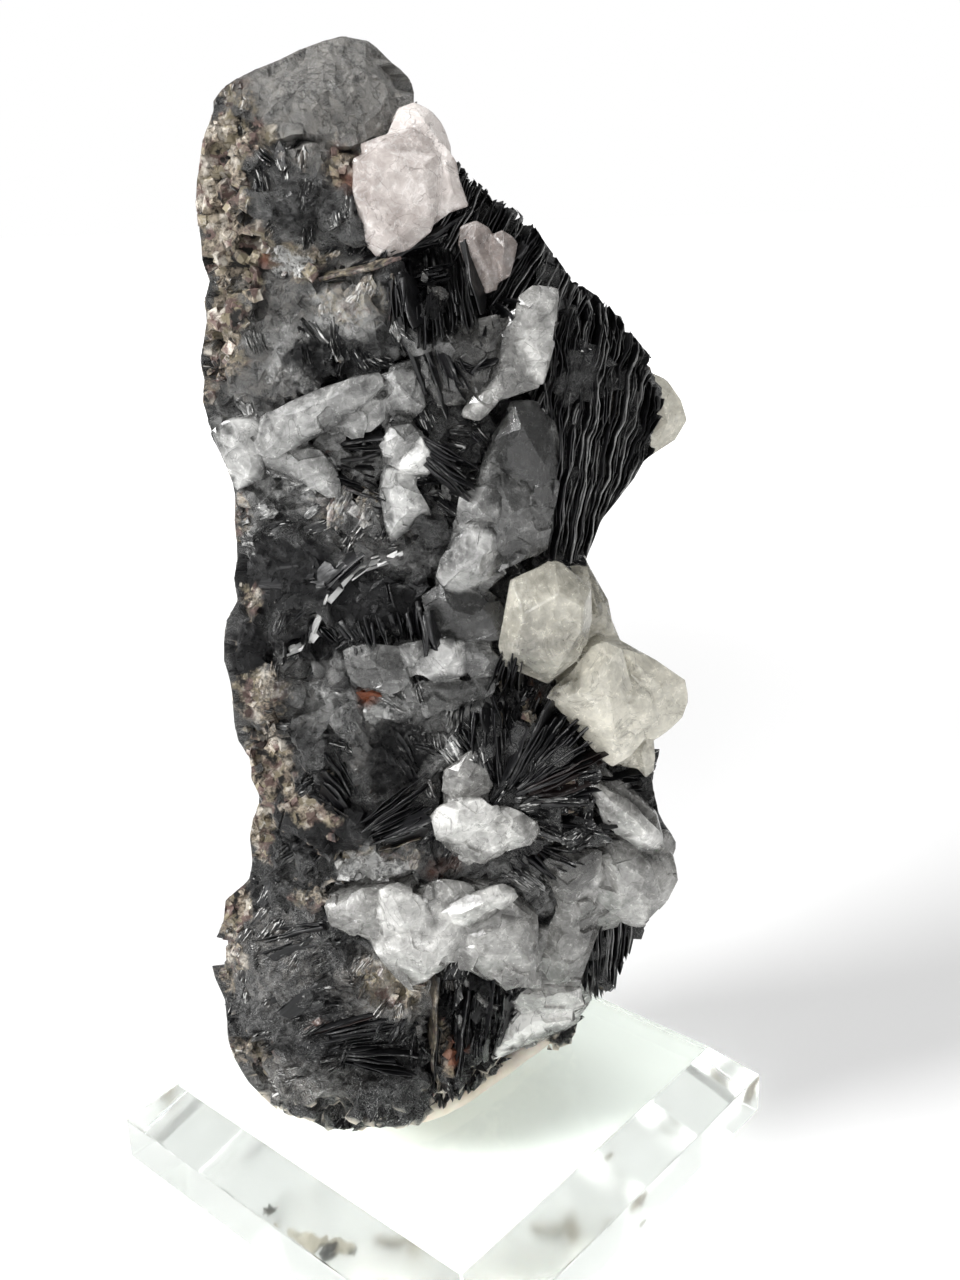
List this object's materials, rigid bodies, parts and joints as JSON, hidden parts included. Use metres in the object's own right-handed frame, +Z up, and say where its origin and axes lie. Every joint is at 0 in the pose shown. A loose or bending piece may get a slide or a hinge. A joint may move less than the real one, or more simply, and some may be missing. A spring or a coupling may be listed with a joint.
{
  "type": "specularite with quartz specimen on a clear base",
  "caption": "Upright specularite specimen with black plate rosettes and pale quartz crystals, bedded in putty on a clear square bevelled display base.",
  "frame": {"origin": "middle of the clear base's underside, on the surface it stands on", "axes": "+Z up along the specimen's height; -Y towards the display side, where the base's front corner points; +X to the viewer's right"},
  "size_m": [0.1074, 0.1074, 0.1705],
  "materials": {
    "clear_base": "polished clear, faint green tint, sharp mitred bevels",
    "putty": "matte cream mounting putty, pressed smooth",
    "specularite": "black to steel-grey, glittering plates, with brown crumbly matrix down the left edge",
    "pink_quartz": "milky, faintly pink, translucent, fractured faces",
    "white_quartz": "milky white to colourless, translucent, glassy faces",
    "grey_quartz": "smoky grey, translucent, glassy and fractured",
    "cream_quartz": "pale cream, translucent, broad flat crystal faces"
  },
  "bodies": {
    "root": {"display_base": "clear_base", "mounting_putty": "putty", "specularite": "specularite", "upper_quartz_block": "pink_quartz", "small_pink_crystal": "pink_quartz", "upper_quartz_shard": "white_quartz", "grey_quartz_band": "grey_quartz", "centre_quartz": "grey_quartz", "right_quartz_cluster": "cream_quartz", "rear_cream_crystal": "cream_quartz", "middle_quartz_strip": "grey_quartz", "white_quartz_clump": "white_quartz", "lower_quartz_band": "white_quartz", "lower_right_quartz": "white_quartz", "foot_quartz": "white_quartz"}
  },
  "joints": []
}
